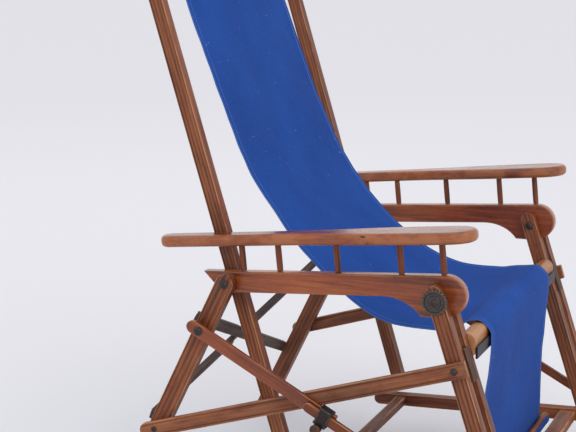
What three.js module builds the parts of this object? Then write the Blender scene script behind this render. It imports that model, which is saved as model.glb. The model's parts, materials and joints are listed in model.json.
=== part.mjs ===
// Antique folding deck chair: hardwood side frames, spindle arm galleries and a long canvas sling.
// Millimetres, +Z up, the sitter faces -Y. Side views are drawn as (forward, up): forward is -Y.
import * as THREE from 'three';

// ---- driving dimensions -------------------------------------------------------------------
const fit = 0.4;              // gap between pieces that touch
const runFit = 0.5;           // radial clearance round a pin or bolt

// pivots in the side view, measured from the rear foot
const rearPivot = new THREE.Vector2(222, 457);
const frontPivot = new THREE.Vector2(590, 464);
const lowerPivot = new THREE.Vector2(712, 98);
const backHeight = 1012;      // top of the back rails
const backRake = 0.3026;      // forward run of a back rail for each unit of drop

// layers across the chair, from the inside out
const innerFace = 282;        // inside of the back rails and inner leg bars
const railThick = 20;         // thickness of every main member
const stayThick = 10;         // side stay
const latchThick = 8;         // each half of the latch stay

// main members
const legWide = 27;
const rearLegWide = 32;
const backWide = 25;
const stayWide = 27;
const latchWide = 23;
const latchFrontWide = 17;
const lowerWide = 24;
const legTopReach = 12;       // leg top centre above the front pivot

// arms
const armRear = new THREE.Vector2(97, 517);
const armFront = new THREE.Vector2(650, 573);
const armThick = 20;
const armNeck = 36;           // width at the rear
const armPaddle = 68;         // width of the front paddle
const armRailHigh = 36;
const armRailTail = 47;       // pointed tail behind the rear pivot
const scrollRadius = 34;
const scrollForward = 10;     // scroll centre ahead of the front pivot
const spindleRadius = 5.3;
const spindleStations = [246, 312, 415, 524, 595];

// cross pieces
const topRodRadius = 13;
const topRodDrop = 26;        // below the top of the back rails
const seatRailDeep = 29;
const seatRailHigh = 41;
const seatRail = new THREE.Vector2(625.5, 379);
const ironThick = 4;
const ironHigh = 20;
const rearCross = new THREE.Vector2(341, 82);
const rearCrossSize = 22;
const frontCrossDeep = 32;
const frontCrossHigh = 18;
const frontCrossBack = 27;    // behind the lower pivot
const hemRod = new THREE.Vector2(648, 100);
const hemRodRadius = 8;
const braceWide = 22;
const braceThick = 9;
const fallingBrace = [0.835, 0.295];   // shares of the rear leg's length, right end and left end
const risingBrace = [0.43, 0.80];

// hardware
const boltRadius = 4;
const headRadius = 8;
const headHigh = 5;
const wheelRadius = 21;
const wheelThick = 9;
const knobRadius = 9.5;
const knobHigh = 11;
const clipLong = 24;
const clipWall = 3;

// canvas
const slingWide = 420;
const canvas = 3;

// ---- positions worked out from them ---------------------------------------------------------
const innerLayer = innerFace + railThick / 2;
const railLayer = innerFace + railThick * 1.5 + 1;
const outerLayer = innerFace + railThick * 2.5 + 2;
const outerFace = outerLayer + railThick / 2;
const lowerLayer = innerFace - 4 - railThick / 2;
const stayLayer = outerFace + 1 + stayThick / 2;
const latchLayer = outerFace + 2 + stayThick + latchThick / 2;
const latchFrontLayer = latchLayer + latchThick + 1;
const armLayer = innerFace + railThick + 1 + armNeck / 2;

const along = (a, b, share) => a.clone().lerp(b, share);
const unit = (a, b) => b.clone().sub(a).normalize();
const legLine = unit(lowerPivot, frontPivot);
const frontFoot = lowerPivot.clone().addScaledVector(legLine, -lowerPivot.y / legLine.y);
const rearFoot = new THREE.Vector2(0, 0);
const backPoint = (up) => new THREE.Vector2(rearPivot.x + (rearPivot.y - up) * backRake, up);
const stayRear = along(rearPivot, rearFoot, 0.588);
const stayFront = along(frontPivot, lowerPivot, 0.295);
const latchRear = along(rearPivot, rearFoot, 0.175);
const latchJoint = along(latchRear, lowerPivot, 0.432);

// ---- finishes -------------------------------------------------------------------------------
const finish = (color, roughness, metalness = 0) => ({ color, roughness, metalness });
const stainedBeech = finish(0x7a4429, 0.45);
const polishedArm = finish(0x96532f, 0.32);
const blackIron = finish(0x2b292b, 0.55, 0.8);
const blueCanvas = finish(0x2450a3, 0.85);

// ---- building blocks ------------------------------------------------------------------------
const chair = new THREE.Group();
const sideTurn = new THREE.Quaternion().setFromRotationMatrix(new THREE.Matrix4().makeBasis(
  new THREE.Vector3(0, -1, 0), new THREE.Vector3(0, 0, 1), new THREE.Vector3(-1, 0, 0)));
const sides = [['right', -1], ['left', 1]];

function addMesh(name, geometry, look) {
  const mesh = new THREE.Mesh(geometry, new THREE.MeshStandardMaterial(look));
  mesh.name = name;
  chair.add(mesh);
  return mesh;
}

// A side-view outline given thickness across the chair, centred on x.
function addSlab(name, shape, x, thickness, look, curveSegments = 12) {
  const geometry = new THREE.ExtrudeGeometry(shape, { depth: thickness, bevelEnabled: false, curveSegments });
  const mesh = addMesh(name, geometry, look);
  mesh.quaternion.copy(sideTurn);
  mesh.position.x = x + thickness / 2;
  return mesh;
}

// A turned piece on an axis across the chair: radii against distance outward from x, facing side.
function addTurned(name, profile, x, side, centre, look, segments = 20) {
  const points = profile.map(([radius, out]) => new THREE.Vector2(radius, out));
  const mesh = addMesh(name, new THREE.LatheGeometry(points, segments), look);
  mesh.rotation.z = -side * Math.PI / 2;
  mesh.position.set(side * x, -centre.x, centre.y);
  return mesh;
}

function bore(shape, centre, radius) {
  const hole = new THREE.Path();
  hole.absarc(centre.x, centre.y, radius, 0, Math.PI * 2, true);
  shape.holes.push(hole);
  return shape;
}

// A straight bar from a to b. Each end is 'round', 'square' or 'floor' (cut level with the ground).
function barShape(a, b, width, startEnd = 'round', finishEnd = 'round') {
  const half = width / 2;
  const run = unit(a, b);
  const across = new THREE.Vector2(-run.y, run.x).multiplyScalar(half);
  const turn = run.angle();
  const shape = new THREE.Shape();
  const corner = (end, sign) => end.clone().addScaledVector(across, sign);
  const level = (end, sign) => {
    const point = corner(end, sign);
    return point.addScaledVector(run, -point.y / run.y);
  };
  const startLow = startEnd === 'floor' ? level(a, -1) : corner(a, -1);
  const startHigh = startEnd === 'floor' ? level(a, 1) : corner(a, 1);
  shape.moveTo(startLow.x, startLow.y);
  const endLow = corner(b, -1);
  shape.lineTo(endLow.x, endLow.y);
  if (finishEnd === 'round') {
    shape.absarc(b.x, b.y, half, turn - Math.PI / 2, turn + Math.PI / 2, false);
  } else {
    const endHigh = corner(b, 1);
    shape.lineTo(endHigh.x, endHigh.y);
  }
  shape.lineTo(startHigh.x, startHigh.y);
  if (startEnd === 'round') {
    shape.absarc(a.x, a.y, half, turn + Math.PI / 2, turn + Math.PI * 1.5, false);
  } else {
    shape.closePath();
  }
  return shape;
}

const beyond = (from, to, reach) => to.clone().addScaledVector(unit(from, to), reach);

function roundedRect(centre, wide, high, radius) {
  const shape = new THREE.Shape();
  const [x0, x1] = [centre.x - wide / 2, centre.x + wide / 2];
  const [y0, y1] = [centre.y - high / 2, centre.y + high / 2];
  shape.moveTo(x0 + radius, y0);
  shape.absarc(x1 - radius, y0 + radius, radius, -Math.PI / 2, 0, false);
  shape.absarc(x1 - radius, y1 - radius, radius, 0, Math.PI / 2, false);
  shape.absarc(x0 + radius, y1 - radius, radius, Math.PI / 2, Math.PI, false);
  shape.absarc(x0 + radius, y0 + radius, radius, Math.PI, Math.PI * 1.5, false);
  return shape;
}

// ---- arms -----------------------------------------------------------------------------------
const armRun = unit(armRear, armFront);
const armLong = armFront.distanceTo(armRear);
const armUnderside = (forward) =>
  armRear.y + (forward - armRear.x) * armRun.y / armRun.x - armThick / 2 / armRun.x;

// Plan outline of the arm board: a narrow neck that swells into a round-nosed paddle.
function addArmrest(label, side) {
  const bullnose = 6;
  const neck = armNeck / 2 - bullnose;
  const paddle = armPaddle / 2 - bullnose;
  const tip = armLong - bullnose;
  const shoulder = tip - paddle * 1.5;
  const shape = new THREE.Shape();
  const neckEnd = armLong * 0.34;
  const swell = shoulder - neckEnd;
  shape.moveTo(bullnose + neck, -neck);
  shape.lineTo(neckEnd, -neck);
  shape.bezierCurveTo(neckEnd + swell * 0.5, -neck, shoulder - swell * 0.5, -paddle, shoulder, -paddle);
  shape.bezierCurveTo(shoulder + paddle * 0.9, -paddle, tip, -paddle * 0.55, tip, 0);
  shape.bezierCurveTo(tip, paddle * 0.55, shoulder + paddle * 0.9, paddle, shoulder, paddle);
  shape.bezierCurveTo(shoulder - swell * 0.5, paddle, neckEnd + swell * 0.5, neck, neckEnd, neck);
  shape.lineTo(bullnose + neck, neck);
  shape.absarc(bullnose + neck, 0, neck, Math.PI / 2, Math.PI * 1.5, false);
  const geometry = new THREE.ExtrudeGeometry(shape, {
    depth: armThick - 2 * bullnose, bevelEnabled: true, bevelSize: bullnose,
    bevelThickness: bullnose, bevelSegments: 3, curveSegments: 8,
  });
  const mesh = addMesh(`armrest_${label}`, geometry, polishedArm);
  const forward = new THREE.Vector3(0, -armRun.x, armRun.y);
  const across = new THREE.Vector3(1, 0, 0);
  const normal = forward.clone().cross(across);
  mesh.quaternion.setFromRotationMatrix(new THREE.Matrix4().makeBasis(forward, across, normal));
  mesh.position.set(side * armLayer, -armRear.x, armRear.y);
  mesh.position.addScaledVector(normal, -(armThick / 2 - bullnose));
}

const railRun = new THREE.Vector2(1, 0.0734).normalize();
const scrollCentre = new THREE.Vector2(frontPivot.x + scrollForward, frontPivot.y + 4);
const railTopLine = (forward) =>
  scrollCentre.y + scrollRadius + (forward - scrollCentre.x) * railRun.y / railRun.x;

function armRailShape() {
  const tail = rearPivot.x - armRailTail;
  const underside = (forward) => railTopLine(forward) - armRailHigh / railRun.x;
  const bellyEnd = frontPivot.x - 98;
  const cusp = new THREE.Vector2(scrollCentre.x - 41, scrollCentre.y - scrollRadius - 3);
  const shape = new THREE.Shape();
  shape.moveTo(tail, railTopLine(tail));
  shape.lineTo(tail + 34, underside(tail + 34));
  shape.lineTo(bellyEnd, underside(bellyEnd));
  shape.bezierCurveTo(bellyEnd + 30, underside(bellyEnd) + 2, cusp.x - 14, cusp.y + 18, cusp.x, cusp.y);
  shape.lineTo(scrollCentre.x - 12, cusp.y);
  shape.absarc(scrollCentre.x, scrollCentre.y, scrollRadius, -Math.PI * 0.55, Math.PI * 0.5, false);
  return shape;
}

function addArmRail(label, side) {
  const shape = armRailShape();
  bore(shape, rearPivot, boltRadius + runFit);
  bore(shape, frontPivot, boltRadius + runFit);
  addSlab(`arm_rail_${label}`, shape, side * railLayer, railThick, polishedArm, 16);
}

// Spindles stand square to the arm board, between the rail and the board.
function addSpindles(label, side) {
  const lean = new THREE.Vector2(-armRun.y, armRun.x);
  spindleStations.forEach((station, index) => {
    const foot = new THREE.Vector2(station, railTopLine(station) + fit + spindleRadius * armRun.y);
    const high = (armUnderside(station) - foot.y) * armRun.x - fit;
    const geometry = new THREE.CylinderGeometry(spindleRadius, spindleRadius, high, 14);
    const mesh = addMesh(`spindle_${label}_${index + 1}`, geometry, stainedBeech);
    const centre = foot.addScaledVector(lean, high / 2);
    mesh.position.set(side * railLayer, -centre.x, centre.y);
    mesh.rotation.x = Math.PI / 2 - armRun.angle();
  });
}

// ---- legs, back and stays -------------------------------------------------------------------
function addLegs(label, side) {
  const top = frontPivot.clone().addScaledVector(legLine, legTopReach);
  const bar = (name, layer, stayHole) => {
    const shape = barShape(frontFoot, top, legWide, 'floor', 'round');
    bore(shape, frontPivot, boltRadius + runFit);
    bore(shape, lowerPivot, boltRadius + runFit);
    if (stayHole) bore(shape, stayFront, boltRadius + runFit);
    addSlab(name, shape, side * layer, railThick, stainedBeech);
  };
  bar(`front_leg_outer_${label}`, outerLayer, true);
  bar(`front_leg_inner_${label}`, innerLayer, false);
  const block = barShape(beyond(frontPivot, stayFront, -26), beyond(frontPivot, stayFront, 30),
    legWide + 8, 'square', 'square');
  const blockThick = outerLayer - innerLayer - railThick - 2 * fit;
  addSlab(`leg_spacer_${label}`, block, side * railLayer, blockThick, stainedBeech);

  const rear = barShape(rearFoot, rearPivot, rearLegWide, 'floor', 'round');
  bore(rear, rearPivot, boltRadius + runFit);
  bore(rear, latchRear, boltRadius + runFit);
  addSlab(`rear_leg_${label}`, rear, side * outerLayer, railThick, stainedBeech);

  const back = barShape(backPoint(rearCross.y + rearCrossSize), backPoint(backHeight), backWide,
    'square', 'round');
  bore(back, rearPivot, boltRadius + runFit);
  addSlab(`back_rail_${label}`, back, side * innerLayer, railThick, stainedBeech);
}

function addStays(label, side) {
  const stay = barShape(beyond(stayFront, stayRear, 15), beyond(stayRear, stayFront, 20), stayWide,
    'round', 'square');
  bore(stay, stayFront, boltRadius + runFit);
  addSlab(`side_stay_${label}`, stay, side * stayLayer, stayThick, stainedBeech);

  const latchEnd = beyond(latchRear, latchJoint, 18);
  const rearHalf = barShape(beyond(latchJoint, latchRear, 12), latchEnd, latchWide, 'round', 'square');
  bore(rearHalf, latchRear, boltRadius + runFit);
  addSlab(`latch_stay_rear_${label}`, rearHalf, side * latchLayer, latchThick, polishedArm);

  const tail = beyond(lowerPivot, latchJoint, 30);
  const frontHalf = barShape(tail, beyond(latchJoint, lowerPivot, 10), latchFrontWide);
  bore(frontHalf, lowerPivot, boltRadius + runFit);
  addSlab(`latch_stay_front_${label}`, frontHalf, side * latchFrontLayer, latchThick, stainedBeech);
}

// Clip: an iron channel round the lap of the latch stay, open towards the chair, with a knob lug.
function addClip(label, side) {
  const run = unit(latchRear, lowerPivot);
  const inner = latchLayer - latchThick / 2;
  const outer = latchFrontLayer + latchThick / 2 + runFit;
  const half = latchWide / 2 + fit;
  const section = new THREE.Shape();
  section.moveTo(inner, half);
  section.lineTo(outer, half);
  section.lineTo(outer, -half);
  section.lineTo(inner, -half);
  section.lineTo(inner, -half - clipWall - knobRadius * 1.4);
  section.lineTo(outer + clipWall, -half - clipWall - knobRadius * 1.4);
  section.lineTo(outer + clipWall, half + clipWall);
  section.lineTo(inner, half + clipWall);
  section.closePath();
  const geometry = new THREE.ExtrudeGeometry(section, { depth: clipLong, bevelEnabled: false });
  if (side < 0) {
    geometry.scale(-1, 1, 1);
    geometry.index = null;
    const flip = geometry.attributes.position;
    for (let i = 0; i < flip.count; i += 3) {
      const held = [flip.getX(i), flip.getY(i), flip.getZ(i)];
      flip.setXYZ(i, flip.getX(i + 1), flip.getY(i + 1), flip.getZ(i + 1));
      flip.setXYZ(i + 1, ...held);
    }
  }
  const mesh = addMesh(`latch_clip_${label}`, geometry, blackIron);
  const normal = new THREE.Vector3(0, run.y, run.x);
  const forward = new THREE.Vector3(0, -run.x, run.y);
  const across = normal.clone().cross(forward);
  mesh.quaternion.setFromRotationMatrix(new THREE.Matrix4().makeBasis(across, normal, forward));
  mesh.position.set(0, -latchJoint.x, latchJoint.y);
  mesh.position.addScaledVector(forward, -clipLong / 2);

  const drop = half + clipWall + knobRadius * 0.7;
  const centre = new THREE.Vector2(latchJoint.x + run.y * drop, latchJoint.y - run.x * drop);
  addTurned(`latch_knob_${label}`, [[0, 0], [4, 0], [4, 2], [knobRadius, 3.5], [knobRadius, knobHigh - 3],
    [knobRadius * 0.6, knobHigh], [0, knobHigh]], outer + clipWall + fit, side, centre, stainedBeech);
}

// ---- hardware -------------------------------------------------------------------------------
// A bolt with a domed head at each end of its grip; from and to are distances from the middle.
function boltProfile(from, to) {
  return [[0, from - headHigh], [headRadius * 0.7, from - headHigh], [headRadius, from - headHigh * 0.5],
    [headRadius, from - fit], [boltRadius, from - fit], [boltRadius, to + fit],
    [headRadius, to + fit], [headRadius, to + headHigh * 0.5], [headRadius * 0.7, to + headHigh],
    [0, to + headHigh]];
}

function addHardware(label, side) {
  const grip = (name, from, to, centre) =>
    addTurned(name, boltProfile(from, to), 0, side, centre, blackIron);
  grip(`rear_pivot_bolt_${label}`, innerFace, outerFace, rearPivot);
  grip(`front_pivot_bolt_${label}`, innerFace, outerFace + wheelThick + fit, frontPivot);
  grip(`lower_pivot_bolt_${label}`, lowerLayer - railThick / 2,
    latchFrontLayer + latchThick / 2, lowerPivot);
  const screwTip = outerFace - railThick + headHigh;
  const stayOut = stayLayer + stayThick / 2 + fit;
  addTurned(`stay_screw_front_${label}`, [[0, screwTip], [boltRadius, screwTip], [boltRadius, stayOut],
    [headRadius, stayOut], [headRadius * 0.7, stayOut + headHigh], [0, stayOut + headHigh]],
  0, side, stayFront, blackIron);
  const shoulder = latchLayer - latchThick / 2 - fit;
  addTurned(`latch_bolt_rear_${label}`, [[0, screwTip], [boltRadius, screwTip], [boltRadius, outerFace + fit],
    [headRadius + 2, outerFace + fit], [headRadius + 2, shoulder], [boltRadius, shoulder],
    [boltRadius, shoulder + latchThick + 2 * fit], [headRadius, shoulder + latchThick + 2 * fit],
    [headRadius * 0.7, shoulder + latchThick + headHigh], [0, shoulder + latchThick + headHigh]],
  0, side, latchRear, blackIron);

  const teeth = 22;
  const rim = [];
  for (let i = 0; i < teeth * 2; i += 1) {
    const angle = Math.PI * i / teeth;
    const radius = wheelRadius - (i % 2) * 1.6;
    rim.push(new THREE.Vector2(frontPivot.x + radius * Math.cos(angle), frontPivot.y + radius * Math.sin(angle)));
  }
  const wheel = bore(new THREE.Shape(rim), frontPivot, boltRadius + runFit);
  addSlab(`hand_wheel_${label}`, wheel, side * (outerFace + fit + wheelThick / 2), wheelThick - fit, blackIron);
}

// The bush holds the front half of the latch stay clear of the leg.
function addBush(label, side) {
  const ring = new THREE.Shape();
  ring.absarc(lowerPivot.x, lowerPivot.y, headRadius + 2, 0, Math.PI * 2, false);
  const thickness = latchFrontLayer - latchThick / 2 - outerFace - 2 * fit;
  addSlab(`latch_bush_${label}`, bore(ring, lowerPivot, boltRadius + runFit),
    side * (outerFace + fit + thickness / 2), thickness, blackIron);
}

// ---- lower frame and cross pieces -----------------------------------------------------------
function addLowerRail(label, side) {
  const tail = beyond(lowerPivot, rearCross, 46);
  const nose = beyond(rearCross, lowerPivot, 26);
  const shape = barShape(tail, nose, lowerWide);
  bore(shape, lowerPivot, boltRadius + runFit);
  addSlab(`lower_rail_${label}`, shape, side * lowerLayer, railThick, stainedBeech);
}

function addCrossPieces() {
  const betweenRails = 2 * (lowerLayer - railThick / 2 - fit);
  const betweenLegs = 2 * (innerFace - fit);
  const topRod = new THREE.Shape();
  const topCentre = backPoint(backHeight - topRodDrop);
  topRod.absarc(topCentre.x, topCentre.y, topRodRadius, 0, Math.PI * 2, false);
  addSlab('top_rail', topRod, 0, betweenLegs, stainedBeech, 20);

  const seat = roundedRect(seatRail, seatRailDeep, seatRailHigh, seatRailDeep * 0.45);
  addSlab('seat_rail', seat, 0, betweenLegs, stainedBeech, 6);
  const ironCentre = new THREE.Vector2(seatRail.x + seatRailDeep / 2 + ironThick / 2 + fit,
    seatRail.y - seatRailHigh / 2 + ironHigh / 2);
  addSlab('seat_rail_iron', roundedRect(ironCentre, ironThick, ironHigh, 1), 0, betweenLegs, blackIron, 2);

  addSlab('rear_cross_rail', roundedRect(rearCross, rearCrossSize, rearCrossSize * 0.8, 4), 0,
    betweenRails, stainedBeech, 4);
  const frontCross = along(lowerPivot, rearCross, frontCrossBack / lowerPivot.distanceTo(rearCross));
  addSlab('front_cross_rail', roundedRect(frontCross, frontCrossDeep, frontCrossHigh, 4), 0,
    betweenRails, stainedBeech, 4);
  const rod = new THREE.Shape();
  rod.absarc(hemRod.x, hemRod.y, hemRodRadius, 0, Math.PI * 2, false);
  addSlab('hem_rod', rod, 0, slingWide + 30, stainedBeech, 16);
}

// The two braces cross on the rear faces of the rear legs. Each gives up half its thickness where they meet.
function addBraces() {
  const legLong = rearPivot.distanceTo(rearFoot);
  const up = unit(rearFoot, rearPivot);
  const alongLeg = new THREE.Vector3(0, -up.x, up.y);
  const across = new THREE.Vector3(1, 0, 0);
  const normal = across.clone().cross(alongLeg);
  const reach = outerLayer - 2;
  const ends = (shares) => [new THREE.Vector2(-reach, legLong * shares[0]),
    new THREE.Vector2(reach, legLong * shares[1])];
  const [fallStart, fallEnd] = ends(fallingBrace);
  const [riseStart, riseEnd] = ends(risingBrace);
  const fall = unit(fallStart, fallEnd);
  const rise = unit(riseStart, riseEnd);
  const between = riseStart.clone().sub(fallStart);
  const meet = between.cross(rise) / fall.cross(rise);
  const crossing = fallStart.clone().addScaledVector(fall, meet);
  const turn = Math.abs(fall.cross(rise));
  const notch = (braceWide / turn + braceWide * fall.dot(rise) / turn) / 2 + fit;

  const brace = (name, start, end, notchFace) => {
    const run = unit(start, end);
    const long = start.distanceTo(end);
    const middle = crossing.clone().sub(start).dot(run);
    const faces = notchFace === 'front' ? [0, braceThick] : [braceThick, 0];
    const halved = (braceThick + (notchFace === 'front' ? -fit : fit)) / 2;
    const outline = [[0, faces[0]], [long, faces[0]], [long, faces[1]], [middle + notch, faces[1]],
      [middle + notch, halved], [middle - notch, halved], [middle - notch, faces[1]], [0, faces[1]]];
    const shape = new THREE.Shape(outline.map(([s, t]) => new THREE.Vector2(s, t)));
    const geometry = new THREE.ExtrudeGeometry(shape, { depth: braceWide, bevelEnabled: false });
    const mesh = addMesh(name, geometry, stainedBeech);
    const direction = across.clone().multiplyScalar(run.x).addScaledVector(alongLeg, run.y);
    const width = direction.clone().cross(normal);
    mesh.quaternion.setFromRotationMatrix(new THREE.Matrix4().makeBasis(direction, normal, width));
    mesh.position.copy(across).multiplyScalar(start.x).addScaledVector(alongLeg, start.y);
    mesh.position.addScaledVector(normal, -rearLegWide / 2 - fit - braceThick);
    mesh.position.addScaledVector(width, -braceWide / 2);
  };
  brace('brace_falling', fallStart, fallEnd, 'rear');
  brace('brace_rising', riseStart, riseEnd, 'front');
}

// ---- canvas sling ---------------------------------------------------------------------------
// A strip of cloth as a closed band: the curve offset by half a thickness to either side.
function stripShape(points) {
  const curve = new THREE.SplineCurve(points);
  const steps = 3 * (points.length - 1);
  const outer = [];
  const inner = [];
  for (let i = 0; i <= steps; i += 1) {
    const point = curve.getPoint(i / steps);
    const tangent = curve.getTangent(i / steps);
    const normal = new THREE.Vector2(-tangent.y, tangent.x).multiplyScalar(canvas / 2);
    outer.push(point.clone().add(normal));
    inner.unshift(point.clone().sub(normal));
  }
  return new THREE.Shape(outer.concat(inner));
}

// Points round a rod, by angle in degrees.
function roundRod(centre, radius, from, to, count) {
  return Array.from({ length: count }, (_, i) => {
    const angle = THREE.MathUtils.degToRad(from + (to - from) * i / (count - 1));
    return new THREE.Vector2(centre.x + radius * Math.cos(angle), centre.y + radius * Math.sin(angle));
  });
}

function addSling() {
  const top = backPoint(backHeight - topRodDrop);
  const wrap = topRodRadius + canvas / 2 + 2 * fit;
  const at = (forward, up) => new THREE.Vector2(forward, up);
  const seam = at(430, 403);
  // The hang of the back, as shares of the way from the seam to the top rod.
  const sag = (forwardShare, upShare) => at(seam.x + (top.x - seam.x) * forwardShare,
    seam.y + (top.y - seam.y) * upShare);
  const upper = [
    ...roundRod(top, wrap, 220, 20, 9),
    sag(0.9101, 0.8731), sag(0.8314, 0.7410), sag(0.7417, 0.5986), sag(0.6357, 0.4322),
    sag(0.5298, 0.3087), sag(0.3994, 0.2041), sag(0.2309, 0.0943), sag(0.1087, 0.0377),
    seam,
  ];
  addSlab('sling_back', stripShape(upper), 0, slingWide, blueCanvas);

  const front = seatRail.x + seatRailDeep / 2 + ironThick + canvas / 2 + 5 * fit;
  const over = seatRail.y + seatRailHigh / 2 + canvas / 2 + fit;
  const loop = hemRodRadius + canvas / 2 + 2 * fit;
  const start = seam.clone().addScaledVector(unit(at(390, 425), at(470, 391)), fit);
  const lower = [
    start, at(470, 391), at(520, 385), at(570, 391), at(seatRail.x - 12, over + 1.5), at(seatRail.x + 4, over + 1.5),
    at(front - 1.5, over - 14), at(front, seatRail.y - 4), at(front, seatRail.y - 26), at(front - 4, 310), at(front - 9, 250),
    at(front - 9, 180), at(hemRod.x - loop + 1, hemRod.y + 30), ...roundRod(hemRod, loop, 180, 400, 9),
  ];
  addSlab('sling_front', stripShape(lower), 0, slingWide, blueCanvas);
}

// ---- assembly -------------------------------------------------------------------------------
for (const [label, side] of sides) {
  addArmrest(label, side);
  addArmRail(label, side);
  addSpindles(label, side);
  addLegs(label, side);
  addStays(label, side);
  addClip(label, side);
  addHardware(label, side);
  addBush(label, side);
  addLowerRail(label, side);
}
addCrossPieces();
addBraces();
addSling();

// The origin is the middle of the footprint, on the ground.
const bounds = new THREE.Box3().setFromObject(chair);
chair.position.y = -(bounds.min.y + bounds.max.y) / 2;

export default chair;
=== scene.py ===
import json
import math
import bpy
import bmesh
import numpy as np
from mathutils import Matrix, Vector


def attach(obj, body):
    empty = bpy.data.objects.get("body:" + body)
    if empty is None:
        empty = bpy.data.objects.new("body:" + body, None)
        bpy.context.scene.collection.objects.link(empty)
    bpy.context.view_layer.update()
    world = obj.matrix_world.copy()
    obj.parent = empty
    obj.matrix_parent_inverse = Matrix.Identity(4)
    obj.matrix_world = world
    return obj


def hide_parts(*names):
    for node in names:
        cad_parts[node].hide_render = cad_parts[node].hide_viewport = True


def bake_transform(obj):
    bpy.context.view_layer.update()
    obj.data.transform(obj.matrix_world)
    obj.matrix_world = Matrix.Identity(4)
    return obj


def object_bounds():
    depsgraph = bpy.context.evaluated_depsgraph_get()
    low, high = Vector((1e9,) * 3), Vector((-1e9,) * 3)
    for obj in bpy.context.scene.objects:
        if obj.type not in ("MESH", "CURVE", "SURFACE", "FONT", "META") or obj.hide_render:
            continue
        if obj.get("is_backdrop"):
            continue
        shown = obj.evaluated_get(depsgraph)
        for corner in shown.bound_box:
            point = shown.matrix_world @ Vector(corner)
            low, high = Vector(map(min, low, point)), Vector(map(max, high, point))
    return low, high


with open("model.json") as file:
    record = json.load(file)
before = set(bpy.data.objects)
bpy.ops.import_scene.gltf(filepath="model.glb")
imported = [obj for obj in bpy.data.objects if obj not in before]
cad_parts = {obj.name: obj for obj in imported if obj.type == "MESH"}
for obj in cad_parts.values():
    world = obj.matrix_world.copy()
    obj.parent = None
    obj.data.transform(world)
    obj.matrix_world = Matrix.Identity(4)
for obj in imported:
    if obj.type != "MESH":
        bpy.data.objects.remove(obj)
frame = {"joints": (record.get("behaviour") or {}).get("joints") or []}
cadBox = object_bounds()
mm = 0.001
rng = np.random.default_rng(11)

# Side views are (forward, up) in metres; forward runs towards -Y from the rear foot.
joints = {joint["name"]: joint for joint in frame["joints"]}
frontPivot = np.array([590.0, 464.0]) * mm
rearPivot = np.array([222.0, 457.0]) * mm
lowerPivot = np.array([712.0, 98.0]) * mm
originY = joints["fold"]["pos_m"][1] + frontPivot[0]
sides = {"right": -1.0, "left": 1.0}


def unit(vector):
    vector = np.asarray(vector, float)
    return vector / np.linalg.norm(vector)


def between(a, b, share):
    return a + (b - a) * share


def beyond(a, b, reach):
    return b + unit(b - a) * reach


def place(x, point):
    # A side-view point at distance x across the chair, in the row frame.
    return np.array([x, originY - point[0], point[1]])


legLine = unit(frontPivot - lowerPivot)
rearFoot = np.zeros(2)
frontFoot = lowerPivot - legLine * lowerPivot[1] / legLine[1]
backPoint = lambda up: np.array([rearPivot[0] + (rearPivot[1] - up) * 0.3026, up])
stayRear = between(rearPivot, rearFoot, 0.588)
stayFront = between(frontPivot, lowerPivot, 0.295)
latchRear = between(rearPivot, rearFoot, 0.175)
latchJoint = between(latchRear, lowerPivot, 0.432)
rearCross = np.array([341.0, 82.0]) * mm
# How far each layer of the frame is from the middle of the chair.
layers = {"inner": 0.292, "innerFace": 0.282, "rail": 0.313, "outer": 0.334, "outerFace": 0.344,
          "lower": 0.268, "stay": 0.350, "stayFace": 0.355, "latch": 0.360, "latchFront": 0.369,
          "latchFrontFace": 0.373, "arm": 0.321}


stageValues = {"cameraPlace": (-2.5502, -0.8803, 1.0752), "cameraLine": (0.9051, 0.3743, -0.2020),
               "lens": 93.75, "floorReach": 60.0, "floorTone": "e2e2e6", "skyTone": "fbfbfd",
               "skyStrength": 1.02, "aim": (0, 0, 0.4),
               "lamps": {"key": {"power": 34.0, "size": 3.2, "place": (-2.4, -2.2, 3.4)},
                         "fill": {"power": 8.0, "size": 3.6, "place": (2.4, 2.0, 3.2)}}}


def linear(hexTone):
    # sRGB hex to linear: each channel under 0.04045 is divided by 12.92, the rest raised to 2.4.
    channels = np.array([int(hexTone[i:i + 2], 16) / 255 for i in (0, 2, 4)])
    low = channels / 12.92
    high = ((channels + 0.055) / 1.055) ** 2.4
    return (*np.where(channels <= 0.04045, low, high), 1.0)


def addNode(tree, kind, settings=None, links=None):
    # One node with its settings; links gives each input a value or another node's output.
    made = tree.nodes.new(kind)
    for key, value in (settings or {}).items():
        setattr(made, key, value)
    for key, value in (links or {}).items():
        if isinstance(value, bpy.types.NodeSocket):
            tree.links.new(value, made.inputs[key])
        else:
            made.inputs[key].default_value = value
    return made


def addAimed(name, data, spot, line):
    # A camera or lamp at a place, looking along a line.
    holder = bpy.data.objects.new(name, data)
    holder.location = spot
    holder.rotation_mode = "QUATERNION"
    holder.rotation_quaternion = Vector(line).to_track_quat("-Z", "Y")
    bpy.context.scene.collection.objects.link(holder)
    return holder


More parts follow.
